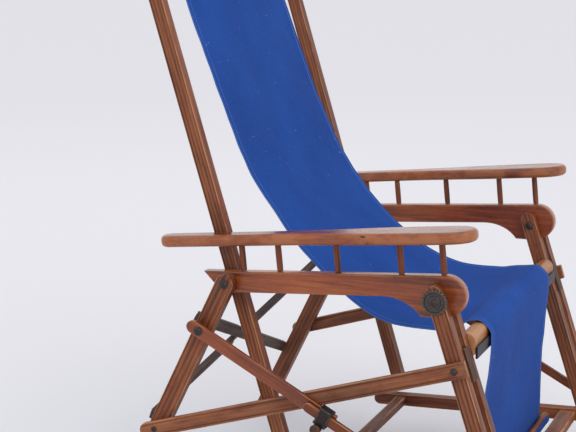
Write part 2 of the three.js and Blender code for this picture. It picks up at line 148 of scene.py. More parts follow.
def setStage():
    # A long lens, a wide pale floor, an even sky and two soft lamps.
    scene = bpy.context.scene
    lens = bpy.data.cameras.new("camera")
    lens.lens = stageValues["lens"]
    lens.sensor_width = 36
    lens.clip_end = 100
    scene.camera = addAimed("camera", lens, stageValues["cameraPlace"], stageValues["cameraLine"])
    scene.view_settings.view_transform = "Standard"

    reach = stageValues["floorReach"]
    floorMesh = bpy.data.meshes.new("floor")
    corners = [(-reach, -reach, 0), (reach, -reach, 0), (reach, reach, 0), (-reach, reach, 0)]
    floorMesh.from_pydata(corners, [], [(0, 1, 2, 3)])
    floor = bpy.data.objects.new("floor", floorMesh)
    scene.collection.objects.link(floor)
    floorMaterial = bpy.data.materials.new("studio_floor")
    floorMaterial.use_nodes = True
    shader = floorMaterial.node_tree.nodes["Principled BSDF"]
    shader.inputs["Base Color"].default_value = linear(stageValues["floorTone"])
    shader.inputs["Roughness"].default_value = 0.9
    shader.inputs["Specular IOR Level"].default_value = 0.1
    floorMesh.materials.append(floorMaterial)
    floor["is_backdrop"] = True

    world = bpy.data.worlds.new("studio")
    world.use_nodes = True
    background = world.node_tree.nodes["Background"]
    background.inputs["Color"].default_value = linear(stageValues["skyTone"])
    background.inputs["Strength"].default_value = stageValues["skyStrength"]
    scene.world = world

    for name, lamp in stageValues["lamps"].items():
        light = bpy.data.lights.new(name, "AREA")
        light.energy = lamp["power"]
        light.size = lamp["size"]
        addAimed(name, light, lamp["place"], np.subtract(stageValues["aim"], lamp["place"]))


setStage()
print("stage set")


woodTones = {
    # Dark stained beech frame, waxed.
    "stained_beech": {"dark": "34170b", "mid": "73381b", "light": "9c5a33", "worn": "bd8c66",
                      "grime": "170b07", "roughness": 0.46, "coat": 0.03},
    # Redder polished arms and latch stays.
    "polished_wood": {"dark": "431809", "mid": "803a17", "light": "a3562a", "worn": "ad6a3e",
                      "grime": "1c0c07", "roughness": 0.24, "coat": 0.42},
    # Nearly black stained spacers and knobs.
    "spacer_wood": {"dark": "20100b", "mid": "3d2216", "light": "5c3924", "worn": "7d5a41",
                    "grime": "120906", "roughness": 0.55, "coat": 0.0},
    # Greyed, unpolished brace slats.
    "brace_wood": {"dark": "332320", "mid": "5a443b", "light": "7e675b", "worn": "9a8477",
                   "grime": "1b120e", "roughness": 0.62, "coat": 0.0},
    # Pale oiled seat rail: a lighter copy of the frame wood, partly real wear from the canvas and partly
    # painted light on the rail's lit top and front.
    "rail_wood": {"dark": "6a3718", "mid": "a0622f", "light": "bf8450", "worn": "d0a478",
                  "grime": "2e180c", "roughness": 0.40, "coat": 0.08},
}


def stretched(tree, source, scale):
    return addNode(tree, "ShaderNodeMapping", {"vector_type": "POINT"},
                   {"Vector": source, "Scale": scale}).outputs["Vector"]


def noise(tree, source, scale, detail, roughness, distortion=0.0):
    # Smooth noise with its scale per metre along each axis.
    return addNode(tree, "ShaderNodeTexNoise", {}, {
        "Vector": stretched(tree, source, scale), "Scale": 1.0, "Detail": detail,
        "Roughness": roughness, "Distortion": distortion}).outputs["Fac"]


def math2(tree, operation, first, second=0.0, clamp=False):
    return addNode(tree, "ShaderNodeMath", {"operation": operation, "use_clamp": clamp},
                   {0: first, 1: second}).outputs[0]


def times(tree, first, second, clamp=False):
    return math2(tree, "MULTIPLY", first, second, clamp)


def plus(tree, first, second):
    return math2(tree, "ADD", first, second)


def vectorMath(tree, operation, first, second=(0, 0, 0)):
    return addNode(tree, "ShaderNodeVectorMath", {"operation": operation}, {0: first, 1: second})


def spread(tree, value, low, high, toLow=0.0, toHigh=1.0):
    return addNode(tree, "ShaderNodeMapRange", {"interpolation_type": "SMOOTHSTEP"}, {
        "Value": value, "From Min": low, "From Max": high, "To Min": toLow, "To Max": toHigh,
    }).outputs["Result"]


def mixTone(tree, factor, first, second):
    made = addNode(tree, "ShaderNodeMix", {"data_type": "RGBA"})
    for index, value in ((0, factor), (6, first), (7, second)):
        if isinstance(value, bpy.types.NodeSocket):
            tree.links.new(value, made.inputs[index])
        else:
            made.inputs[index].default_value = value
    return made.outputs[2]


def attribute(tree, name, output="Fac"):
    return addNode(tree, "ShaderNodeAttribute", {
        "attribute_type": "GEOMETRY", "attribute_name": name}).outputs[output]


def addBump(tree, shader, height, strength, distance):
    bump = addNode(tree, "ShaderNodeBump", {}, {"Height": height, "Strength": strength, "Distance": distance})
    tree.links.new(bump.outputs["Normal"], shader.inputs["Normal"])


def newMaterial(name):
    material = bpy.data.materials.new(name)
    material.use_nodes = True
    tree = material.node_tree
    return material, tree, tree.nodes["Principled BSDF"]


def woodMaterial(name, tones, crack=None):
    # Old stained hardwood: the grain attribute holds metres along, across and through each piece.
    material, tree, shader = newMaterial(name)
    grain = attribute(tree, "grain", "Vector")
    broad = noise(tree, grain, (5, 38, 38), 3, 0.5, 0.4)
    figure = noise(tree, grain, (7, 210, 210), 4, 0.6, 0.9)
    streaks = noise(tree, grain, (26, 900, 900), 2, 0.5)
    blotch = noise(tree, grain, (16, 30, 30), 4, 0.6)
    tone = plus(tree, times(tree, broad, 0.45), times(tree, figure, 0.40))
    tone = plus(tree, tone, times(tree, streaks, 0.15))
    ramp = addNode(tree, "ShaderNodeValToRGB", {}, {"Fac": tone})
    ramp.color_ramp.elements[0].position = 0.34
    ramp.color_ramp.elements[0].color = linear(tones["dark"])
    ramp.color_ramp.elements[1].position = 0.66
    ramp.color_ramp.elements[1].color = linear(tones["light"])
    middle = ramp.color_ramp.elements.new(0.5)
    middle.color = linear(tones["mid"])
    pores = spread(tree, noise(tree, grain, (120, 2600, 2600), 1, 0.5), 0.60, 0.70)
    colour = mixTone(tree, times(tree, pores, 0.45), ramp.outputs["Color"], linear(tones["grime"]))
    patch = spread(tree, blotch, 0.38, 0.60)
    rubbed = times(tree, attribute(tree, "wear"), plus(tree, times(tree, patch, 0.60), 0.14), True)
    colour = mixTone(tree, rubbed, colour, linear(tones["worn"]))
    grime = times(tree, attribute(tree, "grime"), spread(tree, blotch, 0.25, 0.6, 1.0, 0.72), True)
    colour = mixTone(tree, grime, colour, linear(tones["grime"]))
    stain = spread(tree, noise(tree, grain, (30, 90, 90), 5, 0.65), 0.58, 0.74, 0.0, 0.5)
    colour = mixTone(tree, stain, colour, linear(tones["dark"]))
    if crack:
        # A short split along the grain, dark where the stretched distance from its middle is small.
        here = addNode(tree, "ShaderNodeTexCoord").outputs["Object"]
        away = vectorMath(tree, "SUBTRACT", here, crack["middle"]).outputs[0]
        away = vectorMath(tree, "DIVIDE", away, crack["size"]).outputs[0]
        far = plus(tree, vectorMath(tree, "LENGTH", away).outputs["Value"], times(tree, blotch, 0.5))
        colour = mixTone(tree, spread(tree, far, 0.85, 1.15, 0.92, 0.0), colour, linear(tones["grime"]))
    tree.links.new(colour, shader.inputs["Base Color"])
    rough = spread(tree, blotch, 0.3, 0.7, tones["roughness"] - 0.07, tones["roughness"] + 0.12)
    tree.links.new(rough, shader.inputs["Roughness"])
    shader.inputs["Specular IOR Level"].default_value = 0.35
    shader.inputs["Coat Weight"].default_value = tones["coat"]
    shader.inputs["Coat Roughness"].default_value = 0.22
    relief = math2(tree, "SUBTRACT", plus(tree, figure, times(tree, streaks, 0.6)), times(tree, pores, 0.8))
    addBump(tree, shader, relief, 0.35, 0.0005)
    return material


ironTones = {
    # Painted iron fittings, film worn thin and browned.
    "black_iron": {"film": "2a2220", "rust": "4a2c20", "bare": "a39c96", "metallic": 0.5, "roughness": 0.42},
    # Painted flat strip, film mostly whole, in the sling's shadow: a darker copy of the black iron. Its film
    # and chip colours are black paint plus painted shade.
    "strip_iron": {"film": "15121a", "rust": "4a2c20", "bare": "4b4650", "metallic": 0.3, "roughness": 0.45},
}


def ironMaterial(name, tones):
    # Painted black iron gone brown: dark film, rust blooms and small bright chips on the edges.
    material, tree, shader = newMaterial(name)
    spot = addNode(tree, "ShaderNodeTexCoord").outputs["Object"]
    bloom = spread(tree, noise(tree, spot, (160, 160, 160), 4, 0.6), 0.50, 0.68)
    speck = spread(tree, noise(tree, spot, (520, 520, 520), 3, 0.6), 0.60, 0.68)
    colour = mixTone(tree, times(tree, bloom, 0.55), linear(tones["film"]), linear(tones["rust"]))
    chips = times(tree, attribute(tree, "wear"), plus(tree, times(tree, speck, 0.9), 0.16), True)
    colour = mixTone(tree, chips, colour, linear(tones["bare"]))
    tree.links.new(colour, shader.inputs["Base Color"])
    shader.inputs["Metallic"].default_value = tones["metallic"]
    rough = spread(tree, bloom, 0, 1, tones["roughness"], tones["roughness"] + 0.2)
    tree.links.new(rough, shader.inputs["Roughness"])
    addBump(tree, shader, plus(tree, bloom, speck), 0.3, 0.0003)
    return material


clothValues = {"wide": 0.420, "thick": 0.0016, "hem": 0.011, "stitch": 0.0036, "thread": 0.0011,
               "tone": "1b4a9e", "deep": "143f8c", "pale": "2a5cb0", "gap": "0d2350",
               "seamTone": "5f86c6", "lint": "b9c4dd"}


def clothMaterial(name):
    # Cotton canvas, plain weave, 1.1 mm to a pair of threads; the cloth map holds metres.
    v = clothValues
    material, tree, shader = newMaterial(name)
    flat = addNode(tree, "ShaderNodeUVMap", {"uv_map": "cloth"}).outputs["UV"]
    parts = addNode(tree, "ShaderNodeSeparateXYZ", {}, {"Vector": flat})
    across, along = parts.outputs["X"], parts.outputs["Y"]
    turns = 2 * math.pi / v["thread"]
    warp = math2(tree, "SINE", times(tree, across, turns))
    weft = math2(tree, "SINE", times(tree, along, turns))
    weave = times(tree, warp, weft)
    slub = plus(tree, noise(tree, flat, (90, 900, 1), 2, 0.5), noise(tree, flat, (900, 90, 1), 2, 0.5))
    broad = noise(tree, flat, (7, 4, 1), 4, 0.55)
    colour = mixTone(tree, spread(tree, broad, 0.3, 0.7), linear(v["deep"]), linear(v["tone"]))
    colour = mixTone(tree, spread(tree, slub, 0.75, 1.35, 0.0, 0.4), colour, linear(v["pale"]))
    colour = mixTone(tree, spread(tree, weave, -1, 1, 0.16, 0.0), colour, linear(v["gap"]))
    # One row of stitches runs a hem's width in from either edge.
    edge = math2(tree, "SUBTRACT", v["wide"] / 2, math2(tree, "ABSOLUTE", across))
    offLine = math2(tree, "ABSOLUTE", math2(tree, "SUBTRACT", edge, v["hem"]))
    onLine = spread(tree, offLine, 0.0005, 0.0010, 1.0, 0.0)
    dash = math2(tree, "FRACT", math2(tree, "DIVIDE", along, v["stitch"]))
    sewn = times(tree, onLine, spread(tree, dash, 0.62, 0.78, 1.0, 0.25))
    rubbedEdge = spread(tree, edge, 0.0, 0.0022, 0.45, 0.0)
    colour = mixTone(tree, rubbedEdge, colour, linear(v["seamTone"]))
    colour = mixTone(tree, sewn, colour, linear(v["seamTone"]))
    lint = spread(tree, noise(tree, flat, (210, 210, 1), 1, 0.4), 0.775, 0.80)
    colour = mixTone(tree, times(tree, lint, 0.7), colour, linear(v["lint"]))
    tree.links.new(colour, shader.inputs["Base Color"])
    shader.inputs["Roughness"].default_value = 0.88
    shader.inputs["Specular IOR Level"].default_value = 0.1
    shader.inputs["Sheen Weight"].default_value = 0.04
    shader.inputs["Sheen Roughness"].default_value = 0.4
    height = plus(tree, times(tree, weave, 0.5), times(tree, slub, 0.5))
    addBump(tree, shader, plus(tree, height, times(tree, sewn, -1.2)), 0.45, 0.0004)
    return material


crackValues = {"middle": (-0.350, -0.0985, 0.5600), "size": (0.012, 0.0070, 0.0022)}
materials = {name: woodMaterial(name, tones) for name, tones in woodTones.items()}
materials["cracked_arm_wood"] = woodMaterial("cracked_arm_wood", woodTones["polished_wood"], crackValues)
for ironName, ironLook in ironTones.items():
    materials[ironName] = ironMaterial(ironName, ironLook)
materials["blue_canvas"] = clothMaterial("blue_canvas")
print("materials made")


def finishPiece(name, mesh, material, body, nodes):
    # Smooth faces with sharp arrises, outward normals, then the piece rides on its body.
    work = bmesh.new()
    work.from_mesh(mesh)
    bmesh.ops.recalc_face_normals(work, faces=work.faces)
    work.to_mesh(mesh)
    work.free()
    mesh.polygons.foreach_set("use_smooth", np.ones(len(mesh.polygons), bool))
    mesh.set_sharp_from_angle(angle=math.radians(38))
    mesh.materials.append(materials[material])
    piece = bpy.data.objects.new(name, mesh)
    bpy.context.scene.collection.objects.link(piece)
    if body:
        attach(piece, body)
    if nodes:
        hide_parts(*nodes)
    return piece


def ringQuads(start, count, around):
    # The vertex numbers of a grid of closed loops, and the quads from each loop to the next.
    index = start + np.arange(count * around).reshape(count, around)
    ahead = np.roll(index, -1, axis=1)
    return index, np.stack([index[:-1], ahead[:-1], ahead[1:], index[1:]], axis=-1).reshape(-1, 4)


def ringMesh(name, shells):
    # Each shell is (rings, grain, wear, grime): rings is a grid of closed loops, joined by quads
    # loop to loop and closed by one face at either end.
    vertices, faces, grains, wears, grimes = [], [], [], [], []
    start = 0
    for rings, grain, wear, grime in shells:
        count, around = rings.shape[:2]
        index, quads = ringQuads(start, count, around)
        faces += quads.tolist() + [index[0][::-1].tolist(), index[-1].tolist()]
        vertices.append(rings.reshape(-1, 3))
        grains.append(np.broadcast_to(grain, rings.shape).reshape(-1, 3) + rng.uniform(0, 9, 3))
        wears.append(np.broadcast_to(wear, rings.shape[:2]).ravel())
        grimes.append(np.broadcast_to(grime, rings.shape[:2]).ravel())
        start += count * around
    mesh = bpy.data.meshes.new(name)
    mesh.from_pydata(np.concatenate(vertices), [], faces)
    for key, kind, field, data in (("grain", "FLOAT_VECTOR", "vector", grains),
                                   ("wear", "FLOAT", "value", wears), ("grime", "FLOAT", "value", grimes)):
        layer = mesh.attributes.new(key, kind, "POINT")
        layer.data.foreach_set(field, np.concatenate(data).astype(np.float32).ravel())
    return mesh


def addShells(node, body, shells, material="stained_beech", replaced=True):
    # One piece made of closed shells, in the place of the plain node of the same name.
    name = f"{node}_look"
    finishPiece(name, ringMesh(name, shells), material, body, [node] if replaced else [])


barValues = {"arris": 0.0016, "endArris": 0.0007, "reeds": 3, "reedDeep": 0.0013, "fillet": 0.0026,
             "facePoints": 49, "beadIn": 0.0044, "beadWide": 0.0009, "beadDeep": 0.00084}


def reedRelief(offset, half):
    # Depth of the reeds: full at four groove lines, none on top of the three rounds between them.
    band = half - barValues["fillet"]
    phase = (offset / band + 1) * barValues["reeds"] / 2
    inside = np.abs(offset) < band * 1.02
    return np.where(inside, 1 - np.abs(np.sin(math.pi * phase)) ** 0.45, 0.0)


def beadRelief(offset, half):
    # Depth of the two bead lines, each a narrow bell a little way in from an edge.
    return np.exp(-((np.abs(offset) - (half - barValues["beadIn"])) / barValues["beadWide"]) ** 2) * 0.7


def plainRelief(offset, half):
    return np.zeros_like(offset)


def sectionLoop(half, halfThick, arris, facePoints):
    # A rectangle with rounded corners as one closed loop of (across, through, edge share).
    arris = min(arris, half * 0.98, halfThick * 0.98)
    turn = np.linspace(0, math.pi / 2, 5)[1:-1]
    flat = np.linspace(-(half - arris), half - arris, facePoints)
    rise = np.unique(np.clip(np.array([-1, -0.6, 0, 0.6, 1]) * (halfThick - arris), -halfThick, halfThick))
    corner = lambda signA, signT, sweep: np.stack([
        signA * (half - arris + arris * np.cos(sweep)),
        signT * (halfThick - arris + arris * np.sin(sweep))], 1)
    loop = np.concatenate([
        np.stack([flat, np.full_like(flat, halfThick)], 1), corner(1, 1, turn[::-1]),
        np.stack([np.full_like(rise, half), rise[::-1]], 1), corner(1, -1, turn),
        np.stack([flat[::-1], np.full_like(flat, -halfThick)], 1), corner(-1, -1, turn[::-1]),
        np.stack([np.full_like(rise, -half), rise], 1), corner(-1, 1, turn)])
    share = np.tile(np.concatenate([np.zeros(facePoints), np.ones(3), np.zeros(len(rise)), np.ones(3)]), 2)
    return loop, share


def barShell(start, end, through, width, thick, ends=("round", "round"), outer=plainRelief,
             inner=plainRelief, arris=None, facePoints=None, wearLevel=1.0):
    # The section is carried from start to end. A round end narrows it as a half circle, a square end
    # has its arris taken off, and a floor end is sheared until it is level.
    start, end, through = (np.asarray(v, float) for v in (start, end, through))
    run = unit(end - start)
    across = np.cross(through, run)
    length = np.linalg.norm(end - start)
    half, halfThick = width / 2, thick / 2
    arris = barValues["arris"] if arris is None else arris
    relieved = outer is not plainRelief or inner is not plainRelief
    facePoints = facePoints or (barValues["facePoints"] if relieved else 7)
    loop, share = sectionLoop(half, halfThick, arris, facePoints)
    low = -half if ends[0] == "round" else 0.0
    high = length + half if ends[1] == "round" else length
    sweep = np.radians([5, 14, 24, 35, 46, 57, 68, 79, 90])
    endArris = barValues["endArris"]
    roundEnd = (half * (1 - np.cos(sweep)), np.sin(sweep))
    squareEnd = (np.array([0, endArris]), np.array([1 - endArris / half, 1]))
    lowRun, lowWide = roundEnd if ends[0] == "round" else squareEnd
    highRun, highWide = roundEnd if ends[1] == "round" else squareEnd
    middle = np.linspace(low + lowRun[-1], high - highRun[-1], 24)[1:-1]
    station = np.concatenate([low + lowRun, middle, (high - highRun)[::-1]])
    wide = np.concatenate([lowWide, np.ones(len(middle)), highWide[::-1]])
    deep = np.ones(len(station))
    deep[0] = deep[-1] = 1 - endArris / halfThick
    offset = loop[None, :, 0] * wide[:, None]
    depth = loop[None, :, 1] * deep[:, None]
    faceOut = (loop[:, 1] > halfThick * 0.999)[None, :]
    faceIn = (loop[:, 1] < -halfThick * 0.999)[None, :]
    cutOut = outer(offset, half) * faceOut
    cutIn = inner(offset, half) * faceIn
    endFade = np.clip(np.minimum(station - low, high - station) / 0.002, 0, 1)[:, None]
    depth = depth - barValues["reedDeep"] * (cutOut - cutIn) * endFade
    along = np.broadcast_to(station[:, None], offset.shape).copy()
    if ends[0] == "floor":
        along -= across[2] / run[2] * offset * np.clip(1 - station / 0.08, 0, 1)[:, None]
    rings = start + along[..., None] * run + offset[..., None] * across + depth[..., None] * through
    relief = cutOut + cutIn
    ridge = np.where((faceOut & (outer is not plainRelief)) | (faceIn & (inner is not plainRelief)),
                     np.clip(1 - relief * 1.8, 0, 1) ** 2 * 0.22, 0.0)
    wear = np.maximum(np.broadcast_to(share[None, :], offset.shape), ridge) * wearLevel
    wear = np.maximum(wear, (1 - endFade) * 0.6)
    grime = np.clip(relief * 1.7 - 0.70, 0, 0.85)
    grain = np.stack([along, offset, depth], -1)
    return rings, grain, wear, grime


def barPiece(node, body, start, end, through, width, thick, material="stained_beech", **options):
    addShells(node, body, [barShell(start, end, through, width, thick, **options)], material)


frameValues = {"thick": 0.020, "legWide": 0.027, "rearLegWide": 0.032, "backWide": 0.025, "stayWide": 0.027,
               "stayThick": 0.010, "latchWide": 0.023, "latchFrontWide": 0.017, "latchThick": 0.008,
               "lowerWide": 0.024, "backHeight": 1.012}


def addSideFrames():
    v = frameValues
    top = frontPivot + legLine * 0.012
    reeded = {"outer": reedRelief, "inner": reedRelief}
    for label, side in sides.items():
        def bar(kind, body, layer, low, high, wide, thick, **options):
            x = side * layers[layer]
            barPiece(f"{kind}_{label}", body, place(x, low), place(x, high), (side, 0, 0), wide, thick,
                     **options)

        for layer in ("outer", "inner"):
            bar(f"front_leg_{layer}", "front_leg_frame", layer, frontFoot, top, v["legWide"], v["thick"],
                ends=("floor", "round"), **reeded)
        bar("leg_spacer", "front_leg_frame", "rail", beyond(frontPivot, stayFront, -0.026),
            beyond(frontPivot, stayFront, 0.030), v["legWide"] + 0.008, 0.0212,
            ends=("square", "square"), material="spacer_wood", arris=0.002)
        bar("rear_leg", "rear_leg_frame", "outer", rearFoot, rearPivot, v["rearLegWide"], v["thick"],
            ends=("floor", "round"), **reeded)
        bar("back_rail", "back_frame", "inner", backPoint(0.104), backPoint(v["backHeight"]), v["backWide"],
            v["thick"], ends=("square", "round"), **reeded)
        bar("side_stay", "side_stays", "stay", beyond(stayFront, stayRear, 0.015),
            beyond(stayRear, stayFront, 0.020), v["stayWide"], v["stayThick"],
            ends=("round", "square"), outer=beadRelief, inner=beadRelief)
        bar("latch_stay_rear", "latch_rear_halves", "latch", beyond(latchJoint, latchRear, 0.012),
            beyond(latchRear, latchJoint, 0.018), v["latchWide"], v["latchThick"],
            ends=("round", "square"), material="polished_wood")
        bar("latch_stay_front", "latch_front_halves", "latchFront", beyond(lowerPivot, latchJoint, 0.030),
            beyond(latchJoint, lowerPivot, 0.010), v["latchFrontWide"], v["latchThick"])
        bar("lower_rail", "lower_frame", "lower", beyond(lowerPivot, rearCross, 0.046),
            beyond(rearCross, lowerPivot, 0.026), v["lowerWide"], v["thick"])


addSideFrames()
print("side frames made")


crossValues = {"topRod": 0.013, "seatRail": (0.6255, 0.379), "seatDeep": 0.029, "seatHigh": 0.041,
               "hemRod": (0.648, 0.100), "hemRadius": 0.008, "hemReach": 0.225, "reach": 0.2816,
               "lowReach": 0.2576}
topCentre = backPoint(frameValues["backHeight"] - 0.026)


def turnedShell(profile, centre, axis, segments=32, flutes=0, fluteDeep=0.0, wearLevel=1.0):
    # A profile of (radius, distance along the axis) carried round the axis. Flutes notch the radius
    # where the profile is within a fifth of its widest.
    profile = np.asarray(profile, float)
    axis = unit(axis)
    first = unit(np.cross(axis, (0.03, 0.02, 1.0)))
    second = np.cross(axis, first)
    angle = np.linspace(0, 2 * math.pi, segments, endpoint=False)
    radius = profile[:, 0][:, None] + 0 * angle[None, :]
    if flutes:
        notch = fluteDeep * (0.5 - 0.5 * np.cos(flutes * angle)) ** 2
        radius = radius - notch[None, :] * (profile[:, 0] > profile[:, 0].max() * 0.8)[:, None]
    rings = (np.asarray(centre) + profile[:, 1][:, None, None] * axis
             + radius[..., None] * (np.cos(angle)[:, None] * first + np.sin(angle)[:, None] * second))
    turn = np.gradient(np.unwrap(np.arctan2(*np.gradient(profile, axis=0).T)))
    wear = np.clip(np.abs(turn) * 1.2, 0, 1)[:, None] * wearLevel
    grain = np.stack([np.broadcast_to(profile[:, 1][:, None], radius.shape),
                      radius * np.cos(angle), radius * np.sin(angle)], -1)
    return rings, grain, wear, 0.0


def domed(radius, start, high, steps=6):
    # A low dome: the radius falls as a cosine while the height rises as a sine.
    angle = np.linspace(0, math.radians(84), steps)
    return [(radius * math.cos(a), start + high * math.sin(a)) for a in angle]


def addCrossPieces():
    v = crossValues
    span = lambda centre, reach: (place(-reach, centre), place(reach, centre))
    rod = lambda radius, reach: [(radius - 0.001, -reach), (radius, -reach + 0.001)] + [
        (radius, s) for s in np.linspace(-reach + 0.002, reach - 0.002, 9)] + [
        (radius, reach - 0.001), (radius - 0.001, reach)]
    for name, body, radius, reach, centre in (
            ("top_rail", "back_frame", v["topRod"], v["reach"], topCentre),
            ("hem_rod", "front_leg_frame", v["hemRadius"], v["hemReach"], v["hemRod"])):
        addShells(name, body, [turnedShell(rod(radius, reach), place(0, centre), (1, 0, 0))])

    seat = v["seatRail"]
    iron = (seat[0] + v["seatDeep"] / 2 + 0.0024, seat[1] - v["seatHigh"] / 2 + 0.010)
    front = lowerPivot + unit(rearCross - lowerPivot) * 0.027
    for node, body, centre, reach, deep, high, arris, options in (
            # The seat rail takes the pale wood, whose tone carries canvas wear and painted light.
            ("seat_rail", "front_leg_frame", seat, v["reach"], v["seatDeep"], v["seatHigh"], 0.0128,
             {"material": "rail_wood", "facePoints": 9, "wearLevel": 0.5}),
            # The strip takes the darkened iron copy, which holds painted shade from the sling.
            ("seat_rail_iron", "front_leg_frame", iron, v["reach"], 0.004, 0.020, 0.001,
             {"material": "strip_iron"}),
            ("rear_cross_rail", "lower_frame", rearCross, v["lowReach"], 0.022, 0.0176, 0.004, {}),
            ("front_cross_rail", "lower_frame", front, v["lowReach"], 0.032, 0.018, 0.004, {})):
        barPiece(node, body, *span(centre, reach), (0, 0, 1), deep, high, arris=arris,
                 ends=("square", "square"), **options)


braceValues = {"wide": 0.022, "thick": 0.009, "falling": (0.835, 0.295), "rising": (0.43, 0.80),
               "reach": 0.332, "gap": 0.0004}


def halvedShell(start, end, normal, wide, thick, middle, notch, cutFront):
    # A flat slat whose thickness drops to a little under half, on one face, where the other slat crosses.
    run = unit(end - start)
    across = np.cross(normal, run)
    length = np.linalg.norm(end - start)
    low, high, step = middle - notch, middle + notch, 0.0002
    station = np.concatenate([[0, 0.0008], np.linspace(0.01, low - step, 12), [low],
                              np.linspace(low + step, high - step, 7), [high],
                              np.linspace(high + step, length - 0.01, 12), [length - 0.0008, length]])
    loop, share = sectionLoop(wide / 2, thick / 2, 0.0011, 25)
    halved = ((station > low) & (station < high))[:, None]
    shrink = np.where((station < 0.0004) | (station > length - 0.0004), 0.84, 1.0)[:, None]
    offset = loop[None, :, 0] * np.where(shrink < 1, 0.95, 1)
    limit = braceValues["gap"] / 2
    raw = loop[None, :, 1] * shrink
    depth = np.where(halved, np.minimum(raw, -limit) if cutFront else np.maximum(raw, limit), raw)
    bead = beadRelief(offset, wide / 2) * (np.abs(loop[None, :, 1]) > thick / 2 * 0.999) * ~halved
    depth = depth - np.sign(depth) * bead * barValues["beadDeep"]
    rings = start + station[:, None, None] * run + offset[..., None] * across + depth[..., None] * normal
    grain = np.stack([np.broadcast_to(station[:, None], offset.shape), offset, depth], -1)
    return rings, grain, np.broadcast_to(share[None, :] * 0.7, offset.shape), np.clip(bead, 0, 0.6)


def addBraces():
    # Two slats cross on the rear faces of the rear legs, halved into each other where they meet.
    v = braceValues
    legLong = np.linalg.norm(rearPivot)
    upLeg = unit(rearPivot)
    alongLeg = np.array([0, -upLeg[0], upLeg[1]])
    normal = np.cross((1, 0, 0), alongLeg)
    flat = {kind: np.array([(-v["reach"], legLong * v[kind][0]), (v["reach"], legLong * v[kind][1])])
            for kind in ("falling", "rising")}
    falling, rising = (unit(flat[kind][1] - flat[kind][0]) for kind in ("falling", "rising"))
    runs = {"falling": falling, "rising": rising}
    turn = falling[0] * rising[1] - falling[1] * rising[0]
    apart = flat["rising"][0] - flat["falling"][0]
    crossing = flat["falling"][0] + falling * (apart[0] * rising[1] - apart[1] * rising[0]) / turn
    notch = v["wide"] / abs(turn) * (1 + falling @ rising) / 2 + v["gap"]
    middleOff = -(frameValues["rearLegWide"] / 2 + v["gap"] + v["thick"] / 2)
    for kind, cutFront in (("falling", False), ("rising", True)):
        start, end = (place(x, rearFoot) + alongLeg * up + normal * middleOff for x, up in flat[kind])
        middle = (crossing - flat[kind][0]) @ runs[kind]
        shell = halvedShell(start, end, normal, v["wide"], v["thick"], middle, notch, cutFront)
        addShells(f"brace_{kind}", "rear_leg_frame", [shell], "brace_wood")


addCrossPieces()
addBraces()
print("cross pieces made")


armValues = {"rear": (0.097, 0.517), "front": (0.650, 0.573), "thick": 0.020, "neck": 0.036, "paddle": 0.068,
             "round": 0.0075, "railThick": 0.020, "railRound": 0.0022, "railHigh": 0.036, "railTail": 0.047,
             "scroll": 0.034, "spindle": 0.0053, "stations": (0.246, 0.312, 0.415, 0.524, 0.595)}


def bezier(points, steps):
    # Cubic curve through the first and last point, pulled by the two between, without its last point.
    t = np.linspace(0, 1, steps, endpoint=False)[:, None]
    a, b, c, d = (np.asarray(p, float) for p in points)
    return (1 - t) ** 3 * a + 3 * (1 - t) ** 2 * t * b + 3 * (1 - t) * t ** 2 * c + t ** 3 * d


def arc(centre, radius, start, end, steps):
    angle = np.radians(np.linspace(start, end, steps))
    return np.stack([centre[0] + radius * np.cos(angle), centre[1] + radius * np.sin(angle)], 1)


def insetLoop(outline, distance):
    # Each point moves inwards along the bisector of its two edges, further where they turn sharply.
    ahead = np.roll(outline, -1, 0) - outline
    behind = outline - np.roll(outline, 1, 0)
    ahead /= np.linalg.norm(ahead, axis=1)[:, None]
    behind /= np.linalg.norm(behind, axis=1)[:, None]
    left = np.stack([-(ahead + behind)[:, 1], (ahead + behind)[:, 0]], 1)
    left /= np.linalg.norm(left, axis=1)[:, None]
    squareness = np.clip((left * np.stack([-ahead[:, 1], ahead[:, 0]], 1)).sum(1), 0.45, 1)
    return outline + left * (distance / squareness)[:, None]


def slabShell(outline, origin, first, second, thick, rounding, steps):
    # A closed anticlockwise outline given thickness along the third axis, with quarter-round edges.
    first, second = np.asarray(first, float), np.asarray(second, float)
    third = np.cross(first, second)
    sweep = np.linspace(0, math.pi / 2, steps)
    rim = [(rounding + 0.0015, thick / 2, 0.0)] + [
        (rounding * (1 - math.sin(a)), thick / 2 - rounding * (1 - math.cos(a)), 1 - math.cos(a) * 0.3)
        for a in sweep]
    rows = rim + [(d, -h, s) for d, h, s in rim[::-1]]
    rings, wear, grain = [], [], []
    for inset, height, share in rows:
        loop = insetLoop(outline, inset)
        rings.append(origin + loop[:, :1] * first + loop[:, 1:] * second + height * third)
        grain.append(np.concatenate([loop, np.full((len(loop), 1), height)], 1))
        wear.append(np.full(len(loop), share * 0.9))
    return np.stack(rings), np.stack(grain), np.stack(wear), 0.0


def armOutline(length):
    # Plan of the arm board: narrow neck, long swell, round paddle; x is along it.
    v = armValues
    neck, paddle = v["neck"] / 2, v["paddle"] / 2
    neckEnd, shoulder, tip = length * 0.34, length - 0.048, length
    swell = shoulder - neckEnd
    lower = [bezier([(neckEnd, -neck), (neckEnd + swell * 0.5, -neck), (shoulder - swell * 0.5, -paddle),
                     (shoulder, -paddle)], 26),
             bezier([(shoulder, -paddle), (shoulder + 0.030, -paddle), (tip, -paddle * 0.6), (tip, 0)], 16)]
    lower = np.concatenate([np.linspace((neck, -neck), (neckEnd, -neck), 14, endpoint=False)] + lower)
    upper = np.concatenate([[(tip, 0.0)], (lower * (1, -1))[::-1]])
    rear = arc((neck, 0), neck, 90, 270, 18)[1:-1]
    return np.concatenate([lower, upper, rear])


scrollCentre = frontPivot + np.array([0.010, 0.004])
railSlope = 0.0734


def railTop(forward):
    return scrollCentre[1] + armValues["scroll"] + (forward - scrollCentre[0]) * railSlope


